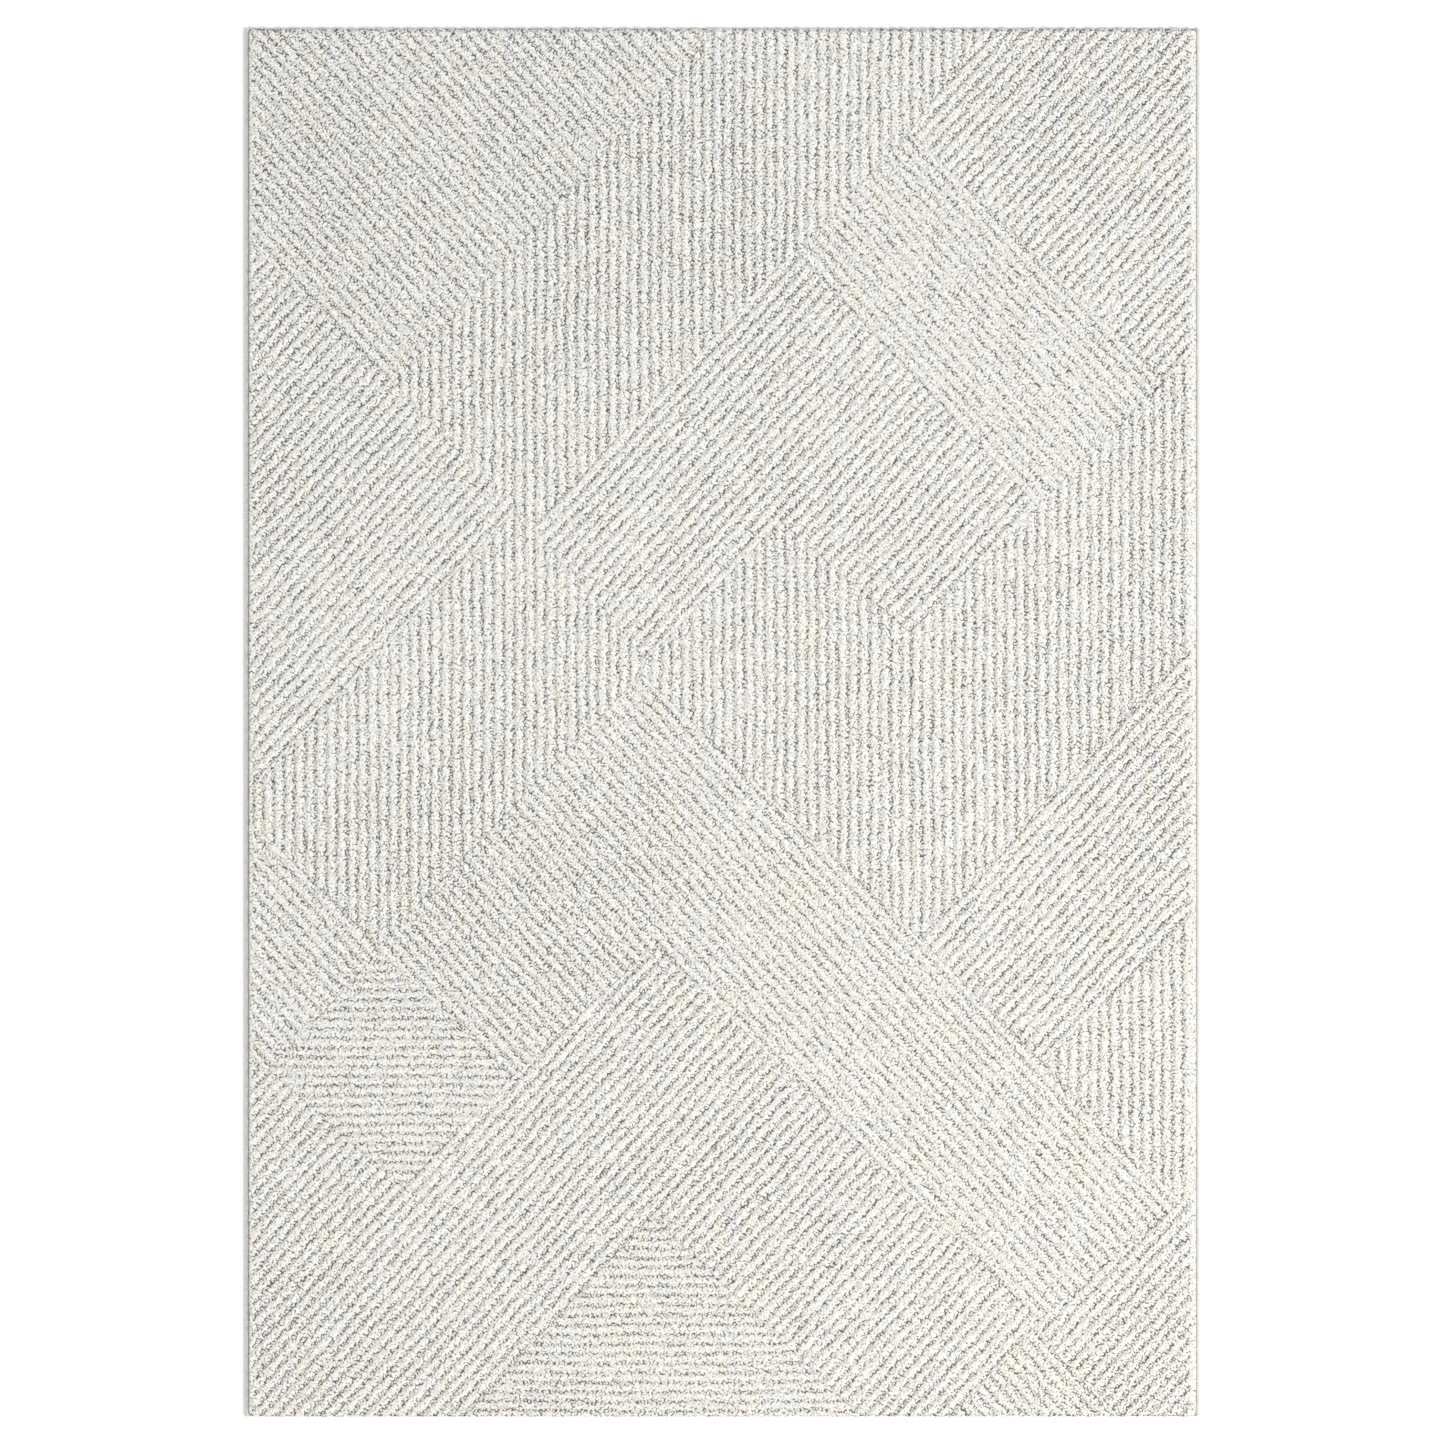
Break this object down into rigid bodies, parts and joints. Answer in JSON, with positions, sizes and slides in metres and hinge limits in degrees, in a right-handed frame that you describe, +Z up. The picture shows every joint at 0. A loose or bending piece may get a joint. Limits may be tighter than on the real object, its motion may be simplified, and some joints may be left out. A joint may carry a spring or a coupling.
{
  "type": "area rug",
  "caption": "Flat rectangular area rug with ivory ribs of high pile over low grey pile, laid in fields that run upright, level and on both slants; serged sides, hemmed ends.",
  "frame": {"origin": "centre of the underside, on the floor, midway across and along the rug", "axes": "+X across the rug's width, +Y along its length towards the head end, +Z up out of the pile"},
  "size_m": [1.6, 2.325, 0.014],
  "materials": {
    "pile_yarn": "matte cut and loop yarn, ivory on the ribs and mottled grey in the grooves",
    "ground_yarn": "plain woven jute",
    "latex": "matte brushed latex over the weave",
    "serging_yarn": "overcast ivory yarn",
    "cord_yarn": "twisted jute cord",
    "label_cloth": "smooth woven tape, blank"
  },
  "bodies": {
    "root": {"pile_falling_top_left": "pile_yarn", "pile_upright_top": "pile_yarn", "pile_rising_top_right": "pile_yarn", "pile_falling_upper_right": "pile_yarn", "pile_rising_left": "pile_yarn", "pile_rising_centre_left": "pile_yarn", "pile_rising_centre_right": "pile_yarn", "pile_upright_left": "pile_yarn", "pile_upright_centre": "pile_yarn", "pile_upright_right": "pile_yarn", "pile_falling_left_edge": "pile_yarn", "pile_falling_chevron_left": "pile_yarn", "pile_falling_chevron_right": "pile_yarn", "pile_rising_right": "pile_yarn", "pile_upright_right_edge": "pile_yarn", "pile_level_diamond": "pile_yarn", "pile_rising_bottom_edge": "pile_yarn", "pile_rising_bottom_left": "pile_yarn", "pile_rising_bottom_centre": "pile_yarn", "pile_level_bottom": "pile_yarn", "pile_falling_bottom": "pile_yarn", "pile_rising_bottom_right": "pile_yarn", "ground_weave": "ground_yarn", "latex_coat": "latex", "hem_head": "ground_yarn", "hem_foot": "ground_yarn", "serging_left": "serging_yarn", "serging_right": "serging_yarn", "cord_left": "cord_yarn", "cord_right": "cord_yarn", "care_label": "label_cloth"}
  },
  "joints": []
}
